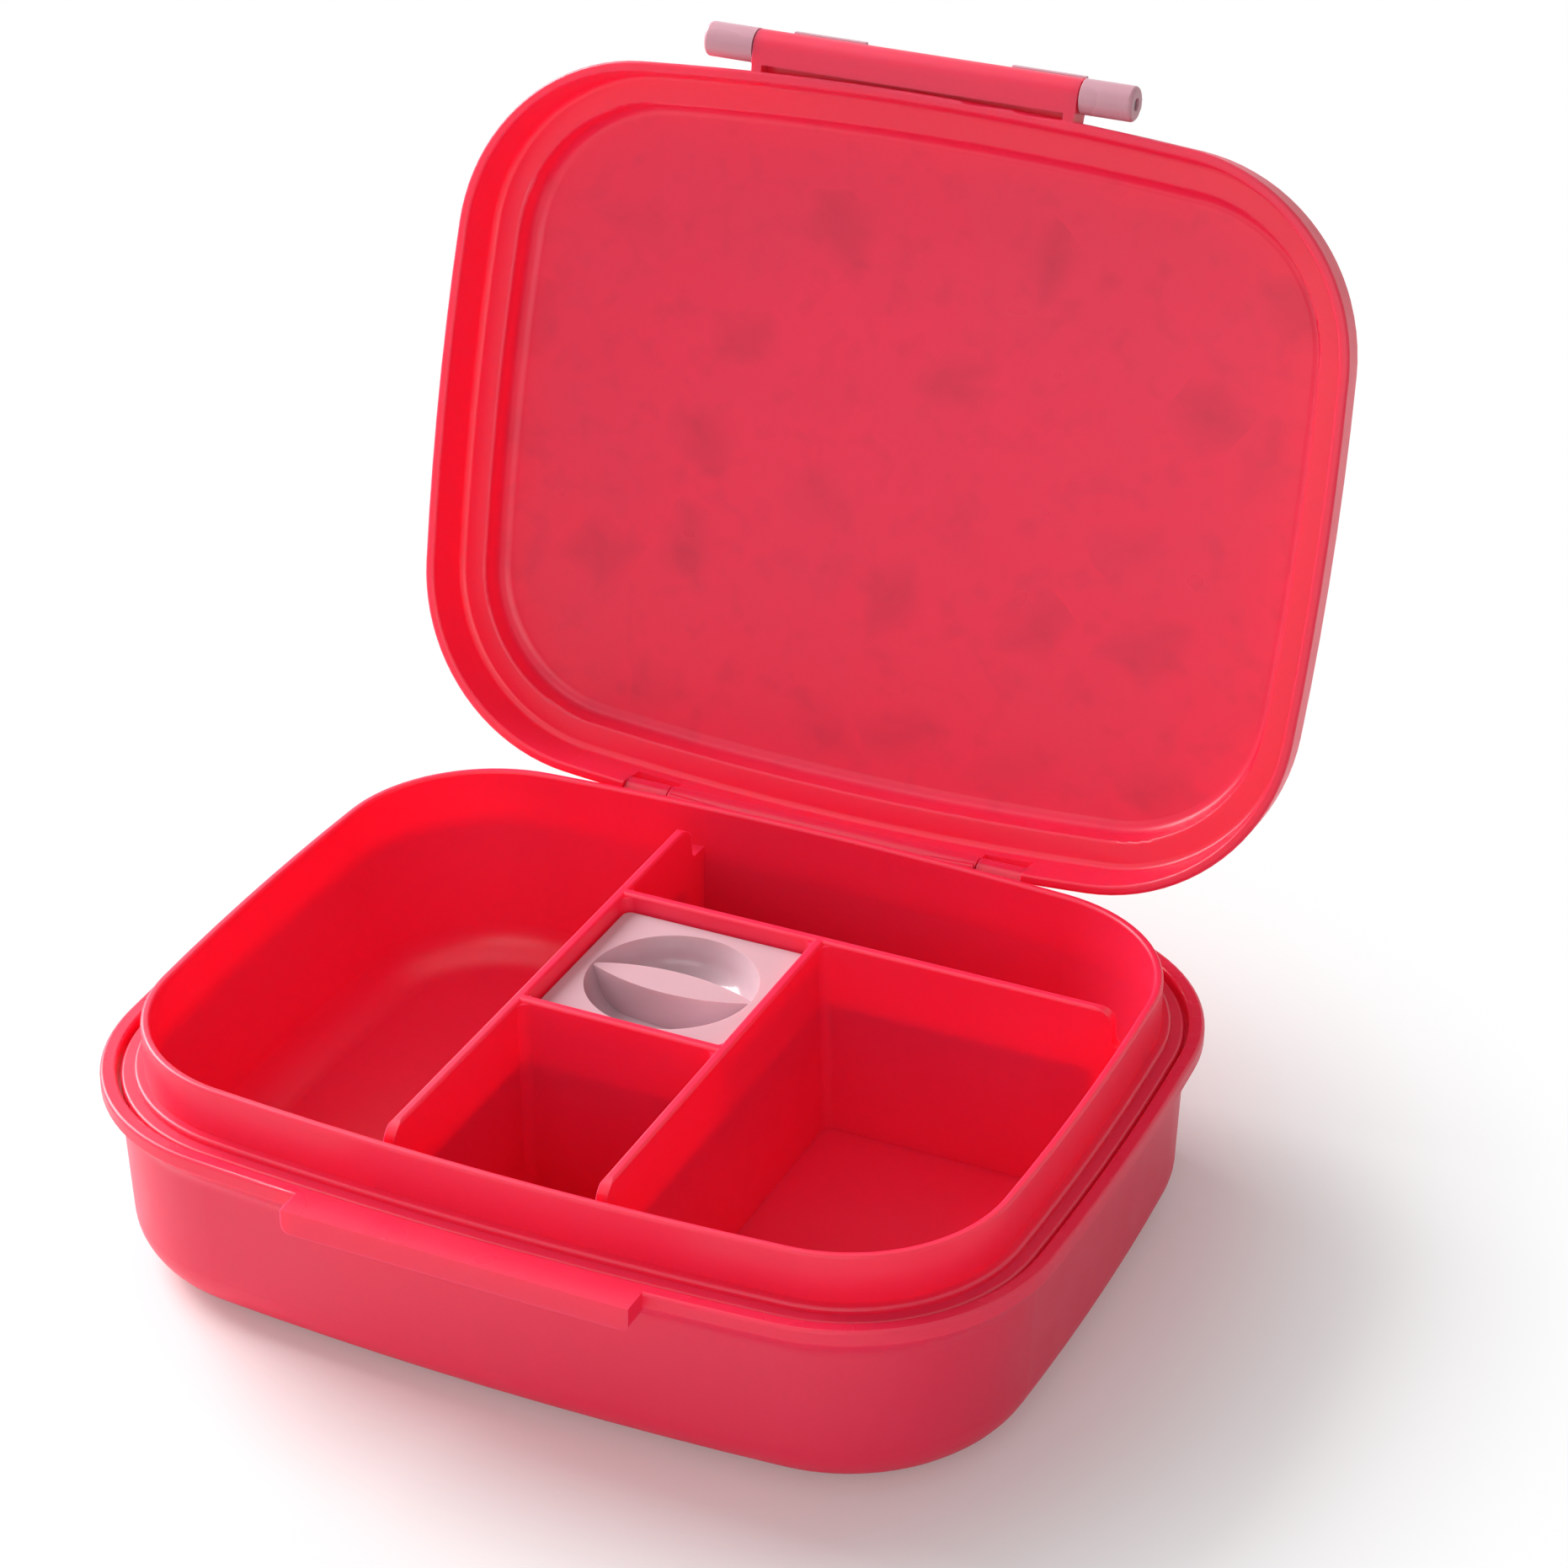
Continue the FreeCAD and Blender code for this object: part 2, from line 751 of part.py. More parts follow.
def latch_knuckle(start, end):
    """One of the two knuckles that hold the latch's pin, rounded at its outer end."""
    corners = [
        (start, 0, 0),
        (start, knuckle_radius, 0),
        (end, knuckle_radius, knuckle_rounding),
        (end, 0, 0),
    ]
    face = rounded_face(corners, lambda x, up: latch_axis + V(x, 0, up))
    return face.revolve(latch_axis, ALONG, 360)


def latch_hook(plate_face):
    """One of the two hooks on the latch's inner face, below the catch lip."""
    top = base_height - catch_height - hook_clearance
    low = top - hook_height
    tip = catch_front + hook_grip
    end = hook_span / 2
    return bar(
        [
            (plate_face, top, 0),
            (tip, top, edge_radius / 2),
            (tip, top - hook_height / 2, edge_radius),
            (plate_face, low, 0),
        ],
        end - hook_width,
        end,
    )


def make_pin(length, axis):
    half = length / 2
    bevel = pin_radius - pin_chamfer
    profile = [
        V(-half, 0, 0),
        V(-half, bevel, 0),
        V(-half + pin_chamfer, pin_radius, 0),
        V(half - pin_chamfer, pin_radius, 0),
        V(half, bevel, 0),
        V(half, 0, 0),
        V(-half, 0, 0),
    ]
    pin = Part.Face(Part.makePolygon(profile)).revolve(V(0, 0, 0), ALONG, 360)
    pin.translate(axis)
    return pin


def swing_open(shape, with_latch):
    """Carries a piece of the closed lid to the open lid, and turns it on the latch pin first."""
    opened = shape.copy()
    if with_latch:
        opened.rotate(latch_axis, ALONG, -latch_open_angle)
    opened.rotate(hinge_axis, ALONG, -lid_open_angle)
    return opened


hinge_pin_length = hinge_barrel_length + 2 * (hinge_end_gap + hinge_ear_length - pin_recess)
latch_pin_length = barrel_length + 2 * (knuckle_gap + knuckle_length - pin_recess)
pieces = {
    "base_tub": make_base_tub(),
    "hinge_pin": make_pin(hinge_pin_length, hinge_axis),
    "food_tray": make_food_tray(),
    "dip_pot": make_dip_pot(),
    "dip_pot_lid": make_dip_pot_lid(),
    "lid_shell": swing_open(closed_lid_shell(), False),
    "lid_print_film": swing_open(closed_lid_film(), False),
    "latch_clip": swing_open(closed_latch_clip(), True),
    "latch_pin": swing_open(make_pin(latch_pin_length, latch_axis), True),
}
os.makedirs("parts", exist_ok=True)
for name, shape in pieces.items():
    solid = shape.Solids[0]
    solid.exportStep("parts/" + name + ".step")
    print(name, len(shape.Solids), "solid", round(solid.Volume), "mm3, valid", solid.isValid())
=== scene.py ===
# Lunch box with an open lid, a front latch and a lift-out tray, dressed and lit for a product shot
import bpy
import bmesh
import json
import math
from mathutils import Matrix, Vector

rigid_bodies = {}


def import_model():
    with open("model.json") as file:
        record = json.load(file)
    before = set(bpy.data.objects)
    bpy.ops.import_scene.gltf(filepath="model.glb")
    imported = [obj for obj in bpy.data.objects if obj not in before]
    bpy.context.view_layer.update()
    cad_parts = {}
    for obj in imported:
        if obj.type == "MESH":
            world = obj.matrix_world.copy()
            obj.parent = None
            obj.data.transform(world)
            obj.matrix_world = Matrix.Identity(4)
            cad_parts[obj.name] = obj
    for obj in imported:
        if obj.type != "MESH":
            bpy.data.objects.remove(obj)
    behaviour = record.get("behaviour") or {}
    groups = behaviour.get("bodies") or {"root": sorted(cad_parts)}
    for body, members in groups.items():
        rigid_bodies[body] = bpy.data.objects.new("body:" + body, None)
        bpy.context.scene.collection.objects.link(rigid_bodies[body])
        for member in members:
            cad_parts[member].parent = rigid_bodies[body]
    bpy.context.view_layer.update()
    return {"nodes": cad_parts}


for leftover in list(bpy.data.objects):  # the start-up cube, lamp and camera
    bpy.data.objects.remove(leftover)

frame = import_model()
scene = bpy.context.scene
mm = 0.001
print("frame loaded:", len(frame["nodes"]), "nodes")


def linearColour(hexCode):
    parts = [int(hexCode[i:i + 2], 16) / 255 for i in (1, 3, 5)]
    return [c / 12.92 if c <= 0.04045 else ((c + 0.055) / 1.055) ** 2.4 for c in parts] + [1.0]


def addNode(tree, kind, settings={}, links={}):
    node = tree.nodes.new(kind)
    for key, value in settings.items():
        if isinstance(key, str) and hasattr(node, key):
            setattr(node, key, value)
        else:
            node.inputs[key].default_value = value
    for key, source in links.items():
        tree.links.new(source, node.inputs[key])
    return node


def newMaterial(name):
    material = bpy.data.materials.new(name)
    material.use_nodes = True
    material.node_tree.nodes.clear()
    return material, material.node_tree


def perMetre(sizeMm):  # a noise of this scale has features of about sizeMm
    return 1 / (sizeMm * mm)


# the lid was drawn closed and swings back about the hinge pin (degrees and mm),
# so its patterns are laid out on the closed lid
lidSwing = {"openDegrees": 106.0, "hingeY": 78.25, "hingeZ": 43.6}


def closedLidPoint(tree, coords):
    turn = math.radians(lidSwing["openDegrees"])
    hinge = Vector((0, lidSwing["hingeY"] * mm, lidSwing["hingeZ"] * mm))
    shift = hinge - Matrix.Rotation(turn, 3, "X") @ hinge
    return addNode(tree, "ShaderNodeMapping", {"Rotation": (turn, 0, 0), "Location": shift},
                   {"Vector": coords})


# printed leaves and dots, scattered over the lid; sizes in mm, the rib in parts of the leaf's width
lidPrint = {
    "leafPitch": 25.0, "leafLength": 9.0, "leafWidth": 4.6, "leafScatter": 0.75,
    "ribFrom": 0.05, "ribTo": 0.11,
    "dotPitch": 15.0, "dotRadius": 1.5, "dotScatter": 0.8, "dotEdge": 0.01,
}


def scatteredLeaf(tree, flat, soft):
    cells = addNode(tree, "ShaderNodeTexVoronoi",
                    {"voronoi_dimensions": "2D", "Scale": perMetre(lidPrint["leafPitch"]),
                     "Randomness": lidPrint["leafScatter"]},
                    {"Vector": flat})
    centre = addNode(tree, "ShaderNodeVectorMath", {"operation": "SUBTRACT"},
                     {0: flat, 1: cells.outputs["Position"]})
    chance = addNode(tree, "ShaderNodeSeparateColor", {}, {0: cells.outputs["Color"]})
    turn = addNode(tree, "ShaderNodeMath", {"operation": "MULTIPLY", 1: 2 * math.pi},
                   {0: chance.outputs[0]})
    turned = addNode(tree, "ShaderNodeVectorRotate", {"rotation_type": "Z_AXIS"},
                     {"Vector": centre.outputs[0], "Angle": turn.outputs[0]})
    leafScale = (perMetre(lidPrint["leafLength"]), perMetre(lidPrint["leafWidth"]), 0)
    local = addNode(tree, "ShaderNodeVectorMath", {"operation": "MULTIPLY", 1: leafScale},
                    {0: turned.outputs[0]})
    axes = addNode(tree, "ShaderNodeSeparateXYZ", {}, {0: local.outputs[0]})
    along = addNode(tree, "ShaderNodeMath", {"operation": "MULTIPLY"},
                    {0: axes.outputs[0], 1: axes.outputs[0]})
    across = addNode(tree, "ShaderNodeMath", {"operation": "ABSOLUTE"}, {0: axes.outputs[1]})
    edge = addNode(tree, "ShaderNodeMath", {"operation": "ADD"},
                   {0: along.outputs[0], 1: across.outputs[0]})
    leaf = addNode(tree, "ShaderNodeMapRange",
                   {"interpolation_type": "SMOOTHSTEP", 1: 1.0 - soft, 2: 1.0 + soft, 3: 1.0, 4: 0.0},
                   {0: edge.outputs[0]})
    rib = addNode(tree, "ShaderNodeMapRange",
                  {"interpolation_type": "SMOOTHSTEP", 1: lidPrint["ribFrom"], 2: lidPrint["ribTo"],
                   3: 1.0, 4: 0.0},
                  {0: across.outputs[0]})
    return leaf.outputs[0], chance, rib.outputs[0]


def paintedPrintShadeOnPanel(tree, coords, look, baseColour):  # painted shade: the film's print drawn as dim blurred blots of shadow inside the lid, standing for light coming through the wall, with a faint random darkening of the panel added
    flat = closedLidPoint(tree, coords.outputs["Object"])
    wobble = addNode(tree, "ShaderNodeTexNoise",
                     {"Scale": perMetre(look["wobbleSize"]), "Detail": 1.0},
                     {"Vector": flat.outputs[0]})
    shove = addNode(tree, "ShaderNodeVectorMath", {"operation": "SUBTRACT", 1: (0.5, 0.5, 0.5)},
                    {0: wobble.outputs["Color"]})
    blurred = addNode(tree, "ShaderNodeVectorMath",
                      {"operation": "MULTIPLY_ADD", 1: [look["wobbleReach"] * mm] * 3},
                      {0: shove.outputs[0], 2: flat.outputs[0]})
    leaf, chance = scatteredLeaf(tree, blurred.outputs[0], look["blotEdge"])[:2]
    height = addNode(tree, "ShaderNodeSeparateXYZ", {}, {0: flat.outputs[0]})
    panel = addNode(tree, "ShaderNodeMapRange",
                    {1: look["panelLow"] * mm, 2: look["panelHigh"] * mm}, {0: height.outputs[2]})
    dark = addNode(tree, "ShaderNodeMapRange",  # some leaves show more
                   {1: look["palestLeaf"], 2: look["darkestLeaf"]}, {0: chance.outputs[1]})
    shade = addNode(tree, "ShaderNodeMath", {"operation": "MULTIPLY"},
                    {0: leaf, 1: panel.outputs[0]})
    shown = addNode(tree, "ShaderNodeMath", {"operation": "MULTIPLY"},
                    {0: shade.outputs[0], 1: dark.outputs[0]})
    mottle = addNode(tree, "ShaderNodeTexNoise",
                     {"Scale": perMetre(look["mottleSize"]), "Detail": 2.0},
                     {"Vector": flat.outputs[0]})
    faint = addNode(tree, "ShaderNodeMapRange",
                    {1: look["mottleFrom"], 2: look["mottleTo"], 4: look["mottleThrough"]},
                    {0: mottle.outputs["Fac"]})
    faintHere = addNode(tree, "ShaderNodeMath", {"operation": "MULTIPLY"},
                        {0: faint.outputs[0], 1: panel.outputs[0]})
    through = addNode(tree, "ShaderNodeMath",
                      {"operation": "MULTIPLY_ADD", 1: look["paintedShadeStrength"]},
                      {0: shown.outputs[0], 2: faintHere.outputs[0]})
    withPaintedShade = addNode(tree, "ShaderNodeMix",
                      {"data_type": "RGBA", 7: linearColour(look["paintedShadeColour"])},
                      {0: through.outputs[0], 6: baseColour})
    return withPaintedShade.outputs[2], panel.outputs[0]


def sinkMarkBump(tree, coords, facing, look, bump):  # soft hollows outside, at the dividers
    deepest = addNode(tree, "ShaderNodeValue")
    for middle, squeeze in look["sinkMarks"]:
        offset = addNode(tree, "ShaderNodeVectorMath",
                         {"operation": "SUBTRACT", 1: [v * mm for v in middle]},
                         {0: coords.outputs["Object"]})
        aside = addNode(tree, "ShaderNodeVectorMath", {"operation": "MULTIPLY", 1: squeeze},
                        {0: offset.outputs[0]})
        away = addNode(tree, "ShaderNodeVectorMath", {"operation": "LENGTH"}, {0: aside.outputs[0]})
        hollow = addNode(tree, "ShaderNodeMapRange",
                         {"interpolation_type": "SMOOTHSTEP", 1: 0.0, 2: look["sinkWidth"] / 2 * mm,
                          3: 1.0, 4: 0.0},
                         {0: away.outputs["Value"]})
        deepest = addNode(tree, "ShaderNodeMath", {"operation": "MAXIMUM"},
                          {0: deepest.outputs[0], 1: hollow.outputs[0]})
    place = addNode(tree, "ShaderNodeSeparateXYZ", {}, {0: coords.outputs["Object"]})
    below = addNode(tree, "ShaderNodeMapRange",
                    {1: look["sinkTop"] * mm, 2: (look["sinkTop"] - look["sinkFade"]) * mm},
                    {0: place.outputs[2]})
    outside = addNode(tree, "ShaderNodeMapRange", {1: 0.0, 2: look["sinkFacing"]},
                      {0: facing.outputs["Value"]})
    shown = addNode(tree, "ShaderNodeMath", {"operation": "MULTIPLY"},
                    {0: below.outputs[0], 1: outside.outputs[0]})
    sunk = addNode(tree, "ShaderNodeMath", {"operation": "MULTIPLY"},
                   {0: deepest.outputs[0], 1: shown.outputs[0]})
    return addNode(tree, "ShaderNodeBump",
                   {"invert": True, "Strength": 1.0, "Distance": look["sinkDepth"] * mm},
                   {"Height": sunk.outputs[0], "Normal": bump.outputs[0]})


def moulding(name, look):
    # polypropylene, injection moulded: satin outside and polished inside, so broad pale sheen
    # outside, crisp soft-box glints inside, and light that soaks through the thin walls
    material, tree = newMaterial(name)
    coords = addNode(tree, "ShaderNodeTexCoord")
    cloud = addNode(tree, "ShaderNodeTexNoise",
                    {"Scale": perMetre(look["cloudSize"]), "Detail": 3.0, "Roughness": 0.55},
                    {"Vector": coords.outputs["Object"]})
    cloudAmount = addNode(tree, "ShaderNodeMapRange", {1: look["cloudFrom"], 2: look["cloudTo"]},
                          {0: cloud.outputs["Fac"]})
    colour = addNode(tree, "ShaderNodeMix",
                     {"data_type": "RGBA", 6: linearColour(look["colour"]),
                      7: linearColour(look["cloudColour"])},
                     {0: cloudAmount.outputs[0]})
    baseColour = colour.outputs[2]

    # a face that looks away from the middle of the hollow is an outer face
    outward = addNode(tree, "ShaderNodeVectorMath",
                      {"operation": "SUBTRACT", 1: [v * mm for v in look["hollowCentre"]]},
                      {0: coords.outputs["Object"]})
    squeezed = addNode(tree, "ShaderNodeVectorMath",
                       {"operation": "MULTIPLY", 1: look["hollowSqueeze"]}, {0: outward.outputs[0]})
    direction = addNode(tree, "ShaderNodeVectorMath", {"operation": "NORMALIZE"},
                        {0: squeezed.outputs[0]})
    facing = addNode(tree, "ShaderNodeVectorMath", {"operation": "DOT_PRODUCT"},
                     {0: direction.outputs[0], 1: coords.outputs["Normal"]})
    rough = addNode(tree, "ShaderNodeMapRange",
                    {"interpolation_type": "SMOOTHSTEP", 1: look["facingFrom"], 2: look["facingTo"],
                     3: look["insideRoughness"], 4: look["outsideRoughness"]},
                    {0: facing.outputs["Value"]})
    handling = addNode(tree, "ShaderNodeTexNoise",
                       {"Scale": perMetre(look["smearSize"]), "Detail": 1.0},
                       {"Vector": coords.outputs["Object"]})
    smear = addNode(tree, "ShaderNodeMapRange", {3: look["smearLow"], 4: look["smearHigh"]},
                    {0: handling.outputs["Fac"]})
    roughness = addNode(tree, "ShaderNodeMath", {"operation": "ADD"},
                        {0: rough.outputs[0], 1: smear.outputs[0]})
    # on the lid the colour gets painted shade: the print's shadow through the wall, drawn as dark blots
    if "paintedShadeStrength" in look:
        baseColour, panel = paintedPrintShadeOnPanel(tree, coords, look, baseColour)

    grain = addNode(tree, "ShaderNodeTexNoise",
                    {"Scale": perMetre(look["grainSize"]), "Detail": 2.0},
                    {"Vector": coords.outputs["Object"]})
    ripple = addNode(tree, "ShaderNodeTexNoise",
                     {"Scale": perMetre(look["rippleSize"]), "Detail": 1.0},
                     {"Vector": coords.outputs["Object"]})
    fineBump = addNode(tree, "ShaderNodeBump",
                       {"Strength": look["grainStrength"], "Distance": look["grainDepth"] * mm},
                       {"Height": grain.outputs["Fac"]})
    bump = addNode(tree, "ShaderNodeBump",
                   {"Strength": look["rippleStrength"], "Distance": look["rippleDepth"] * mm},
                   {"Height": ripple.outputs["Fac"], "Normal": fineBump.outputs[0]})
    if "sinkMarks" in look:
        bump = sinkMarkBump(tree, coords, facing, look, bump)

    shader = addNode(tree, "ShaderNodeBsdfPrincipled",
                     {"IOR": look["ior"], "Subsurface Weight": look["soak"],
                      "Subsurface Scale": look["soakDepth"] * mm,
                      "Subsurface Radius": look["soakRadius"]},
                     {"Base Color": baseColour, "Roughness": roughness.outputs[0],
                      "Normal": bump.outputs[0]})
    if "paintedShadeStrength" in look:  # the film behind the panel sends the light back, so less soaks in there
        soak = addNode(tree, "ShaderNodeMapRange", {3: look["soak"], 4: look["panelSoak"]}, {0: panel})
        tree.links.new(soak.outputs[0], shader.inputs["Subsurface Weight"])
    addNode(tree, "ShaderNodeOutputMaterial", {}, {"Surface": shader.outputs[0]})
    return material


# sizes, depths and centres in mm
coralLook = {
    "colour": "#FC2953", "cloudColour": "#F62D55", "cloudSize": 34.0, "cloudFrom": 0.35, "cloudTo": 0.7,
    "insideRoughness": 0.16, "outsideRoughness": 0.37, "facingFrom": 0.05, "facingTo": 0.45,
    "smearSize": 9.0, "smearLow": -0.05, "smearHigh": 0.06,
    "grainSize": 0.5, "grainDepth": 0.012, "grainStrength": 0.35,
    "rippleSize": 16.0, "rippleDepth": 0.05, "rippleStrength": 0.5,
    "ior": 1.49, "soak": 0.8, "soakDepth": 4.0, "soakRadius": (1.0, 0.16, 0.2),
    "hollowCentre": (0, 0, 22), "hollowSqueeze": (1.0, 1.25, 1.6),
}
trayLook = dict(
    coralLook, hollowCentre=(0, 0, 34), facingFrom=0.4, facingTo=0.6, insideRoughness=0.38,
    sinkMarks=[  # a mark's middle, and how little its length counts beside its width
        ((-24.4, -70, 0), (1, 0.1, 0)), ((20.2, -70, 0), (1, 0.1, 0)),
        ((-24.4, 70, 0), (1, 0.1, 0)), ((90, 33, 0), (0.1, 1, 0)),
    ],
    sinkWidth=5.7, sinkDepth=0.5, sinkTop=35.5, sinkFade=1.0, sinkFacing=0.3)
# the lid: its inner panel gets painted shade, the print's shadow through the wall as dark blots
lidLook = dict(
    coralLook, hollowCentre=(0, 84, 120), hollowSqueeze=(1, 1, 1), facingFrom=-0.02, facingTo=0.05,
    insideRoughness=0.3, panelLow=53.0, panelHigh=55.5, panelSoak=0.1,
    paintedShadeStrength=0.24, paintedShadeColour="#A01C3C", blotEdge=0.95, palestLeaf=0.75, darkestLeaf=0.25,
    wobbleSize=12.0, wobbleReach=9.0,
    mottleSize=7.0, mottleFrom=0.52, mottleTo=0.75, mottleThrough=0.14)
latchLook = dict(
    coralLook, colour="#D39EAB", cloudColour="#CE97A5", insideRoughness=0.26, outsideRoughness=0.34,
    soak=0.3, soakDepth=2.5, soakRadius=(1.0, 0.5, 0.5),
    hollowCentre=(0, 10, 60), facingFrom=0, facingTo=1)
potLook = dict(latchLook, colour="#D6B6BE", cloudColour="#D3B1BA", insideRoughness=0.16)

baseMaterial = moulding("CoralPolypropyleneBase", coralLook)
trayMaterial = moulding("CoralPolypropyleneTray", trayLook)
lidMaterial = moulding("CoralPolypropyleneLid", lidLook)
potMaterial = moulding("PinkPolypropylenePot", potLook)
latchMaterial = moulding("PinkPolypropyleneLatch", latchLook)
print("mouldings: coral and pink polypropylene")


def printedFilm():
    # in-mould label of printed polypropylene film: flat matt inks with hardly any shine
    look = {
        "ground": "#EE4258", "berry": "#9E1B3E", "blush": "#F8BFC8", "cream": "#FFE9DC",
        "leafEdge": 0.03, "berryShare": 0.55,
        "peelSize": 2.2, "peelDepth": 0.02, "peelStrength": 0.3,  # mm
        "smoothest": 0.5, "roughest": 0.6, "ior": 1.49, "shine": 0.06,
    }
    material, tree = newMaterial("PrintedPolypropyleneFilm")
    coords = addNode(tree, "ShaderNodeTexCoord")
    flat = closedLidPoint(tree, coords.outputs["Object"])
    leaf, chance, rib = scatteredLeaf(tree, flat.outputs[0], look["leafEdge"])
    dark = addNode(tree, "ShaderNodeMath", {"operation": "LESS_THAN", 1: look["berryShare"]},
                   {0: chance.outputs[1]})
    leafColour = addNode(tree, "ShaderNodeMix",
                         {"data_type": "RGBA", 6: linearColour(look["blush"]),
                          7: linearColour(look["berry"])},
                         {0: dark.outputs[0]})
    veined = addNode(tree, "ShaderNodeMix", {"data_type": "RGBA", 7: linearColour(look["ground"])},
                     {0: rib, 6: leafColour.outputs[2]})
    dots = addNode(tree, "ShaderNodeTexVoronoi",
                   {"voronoi_dimensions": "2D", "Scale": perMetre(lidPrint["dotPitch"]),
                    "Randomness": lidPrint["dotScatter"]},
                   {"Vector": flat.outputs[0]})
    dotSize = lidPrint["dotRadius"] / lidPrint["dotPitch"]
    dot = addNode(tree, "ShaderNodeMapRange",
                  {"interpolation_type": "SMOOTHSTEP", 1: dotSize, 2: dotSize + lidPrint["dotEdge"],
                   3: 1.0, 4: 0.0},
                  {0: dots.outputs["Distance"]})
    spotted = addNode(tree, "ShaderNodeMix",
                      {"data_type": "RGBA", 6: linearColour(look["ground"]),
                       7: linearColour(look["cream"])},
                      {0: dot.outputs[0]})
    inked = addNode(tree, "ShaderNodeMix", {"data_type": "RGBA"},
                    {0: leaf, 6: spotted.outputs[2], 7: veined.outputs[2]})
    orangePeel = addNode(tree, "ShaderNodeTexNoise",
                         {"Scale": perMetre(look["peelSize"]), "Detail": 2.0},
                         {"Vector": coords.outputs["Object"]})
    bump = addNode(tree, "ShaderNodeBump",
                   {"Strength": look["peelStrength"], "Distance": look["peelDepth"] * mm},
                   {"Height": orangePeel.outputs["Fac"]})
    rough = addNode(tree, "ShaderNodeMapRange",
                    {1: 0.3, 2: 0.7, 3: look["smoothest"], 4: look["roughest"]},
                    {0: orangePeel.outputs["Fac"]})
    shader = addNode(tree, "ShaderNodeBsdfPrincipled",
                     {"IOR": look["ior"], "Specular IOR Level": look["shine"]},
                     {"Base Color": inked.outputs[2], "Roughness": rough.outputs[0],
                      "Normal": bump.outputs[0]})
    addNode(tree, "ShaderNodeOutputMaterial", {}, {"Surface": shader.outputs[0]})
    return material


def drawnSteel():
    # bright drawn steel wire: grey, with fine draw lines along the pin that dull its shine in streaks
    look = {"steel": "#A9A9AC", "dull": "#77777B", "lineSize": 0.35, "lineSquash": 0.08,
            "smoothest": 0.28, "roughest": 0.45}
    material, tree = newMaterial("DrawnSteelWire")
    coords = addNode(tree, "ShaderNodeTexCoord")
    stretch = addNode(tree, "ShaderNodeMapping", {"Scale": (look["lineSquash"], 1, 1)},
                      {"Vector": coords.outputs["Object"]})
    lines = addNode(tree, "ShaderNodeTexNoise",
                    {"Scale": perMetre(look["lineSize"]), "Detail": 3.0},
                    {"Vector": stretch.outputs[0]})
    colour = addNode(tree, "ShaderNodeMix",
                     {"data_type": "RGBA", 6: linearColour(look["dull"]),
                      7: linearColour(look["steel"])},
                     {0: lines.outputs["Fac"]})
    rough = addNode(tree, "ShaderNodeMapRange",
                    {1: 0.3, 2: 0.7, 3: look["smoothest"], 4: look["roughest"]},
                    {0: lines.outputs["Fac"]})
    shader = addNode(tree, "ShaderNodeBsdfPrincipled", {"Metallic": 1.0},
                     {"Base Color": colour.outputs[2], "Roughness": rough.outputs[0]})
    addNode(tree, "ShaderNodeOutputMaterial", {}, {"Surface": shader.outputs[0]})
    return material


filmMaterial = printedFilm()
steelMaterial = drawnSteel()
print("printed film and steel pins")

dressing = {
    "base_tub": baseMaterial, "food_tray": trayMaterial, "lid_shell": lidMaterial,
    "lid_print_film": filmMaterial, "dip_pot": potMaterial, "dip_pot_lid": potMaterial,
    "latch_clip": latchMaterial, "hinge_pin": steelMaterial, "latch_pin": steelMaterial,
}
for nodeName, material in dressing.items():
    frame["nodes"][nodeName].material_slots[0].material = material
print("CAD nodes dressed:", len(dressing))

# half its side in metres, the rest in mm; to the camera it gets painted light, a white glow that lifts
# the shade near the box a little and fades the box's shadow to plain white further away
floorLook = {
    "colour": "#F3F1F1", "halfSize": 6.0, "top": -1.2, "mottleSize": 60.0,
    "smoothest": 0.55, "roughest": 0.65, "shine": 0.2,
    "white": "#FFFFFF", "paintedLightNearBox": 0.15, "fadeFrom": 105.0, "fadeTo": 200.0,
}


